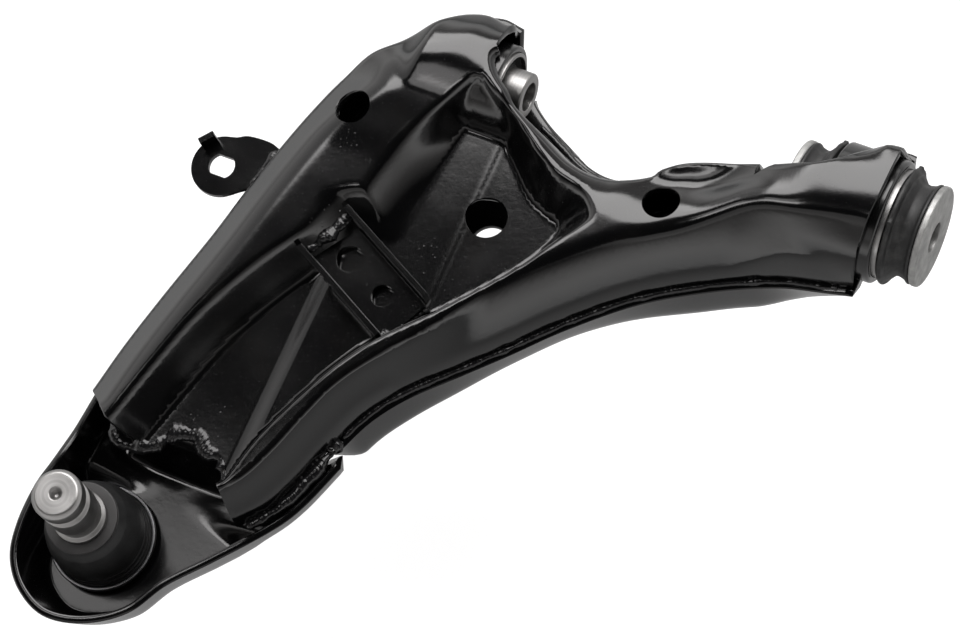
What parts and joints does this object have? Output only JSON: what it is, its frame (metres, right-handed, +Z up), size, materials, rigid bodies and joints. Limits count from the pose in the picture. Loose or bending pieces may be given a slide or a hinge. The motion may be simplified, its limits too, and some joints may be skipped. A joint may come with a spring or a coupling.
{
  "type": "suspension control arm",
  "caption": "Boxed pressed-steel wishbone suspension arm with two rubber pivot bushes, a damper saddle, a link tongue and a pinch-type ball joint.",
  "frame": {"origin": "centre of the bounding box at rest", "axes": "+X runs along the pivot axis from the front bush to the rear bush, +Y points inboard from the ball joint towards the pivot axis, +Z points up along the ball stud at rest"},
  "size_m": [0.3924, 0.3912, 0.1174],
  "materials": {
    "black_e_coat": "gloss electro-coat over pressed steel",
    "machined_steel": "turned, lightly oiled",
    "zinc_plate": "dull zinc",
    "bush_rubber": "satin moulded rubber",
    "seat_polymer": "moulded polymer"
  },
  "bodies": {
    "arm": {"upper_shell": "black_e_coat", "lower_shell": "black_e_coat", "outer_end_cup": "black_e_coat", "damper_bracket": "black_e_coat", "link_bracket": "black_e_coat", "front_eye_tube": "black_e_coat", "rear_eye_tube": "black_e_coat", "ball_joint_housing": "black_e_coat", "front_bush_outer_sleeve": "machined_steel", "rear_bush_outer_sleeve": "machined_steel", "front_bush_rubber": "bush_rubber", "rear_bush_rubber_core": "bush_rubber", "rear_bush_rubber_inner_end": "bush_rubber", "rear_bush_rubber_outer_end": "bush_rubber", "ball_joint_upper_seat": "seat_polymer", "ball_joint_lower_seat": "seat_polymer", "ball_joint_disc_spring": "machined_steel", "ball_joint_cover": "machined_steel", "housing_snap_ring": "machined_steel", "boot_base_clamp": "machined_steel"},
    "front_pivot": {"front_bush_inner_sleeve": "machined_steel"},
    "rear_pivot": {"rear_bush_inner_sleeve": "machined_steel", "rear_bush_inner_plate": "zinc_plate", "rear_bush_outer_plate": "zinc_plate"},
    "boot_sway": {"dust_boot": "bush_rubber"},
    "boot_ring": {"boot_top_ring": "bush_rubber"},
    "stud": {"ball_stud": "machined_steel"}
  },
  "joints": [
    {"name": "front_bush_twist", "type": "hinge", "parent": "arm", "child": "front_pivot", "pos_m": [-0.06576, 0.15638, 0.0057], "axis": [1, 0, 0], "range_deg": [-25, 25]},
    {"name": "rear_bush_twist", "type": "hinge", "parent": "arm", "child": "rear_pivot", "pos_m": [0.15724, 0.15638, 0.0057], "axis": [1, 0, 0], "range_deg": [-25, 25]},
    {"name": "ball_swing", "type": "hinge", "parent": "arm", "child": "boot_sway", "pos_m": [-0.15726, -0.14262, -0.0383], "axis": [1, 0, 0], "range_deg": [-16, 16], "deforming": ["dust_boot"]},
    {"name": "ball_rake", "type": "hinge", "parent": "boot_sway", "child": "boot_ring", "pos_m": [-0.15726, -0.14262, -0.0383], "axis": [0, 1, 0], "range_deg": [-16, 16], "deforming": ["dust_boot"]},
    {"name": "ball_steer", "type": "hinge", "parent": "boot_ring", "child": "stud", "pos_m": [-0.15726, -0.14262, -0.0383], "axis": [0, 0, 1], "continuous": true}
  ],
  "couplings": [
    {"joint": "rear_bush_twist", "follows": "front_bush_twist", "ratio": 1}
  ]
}
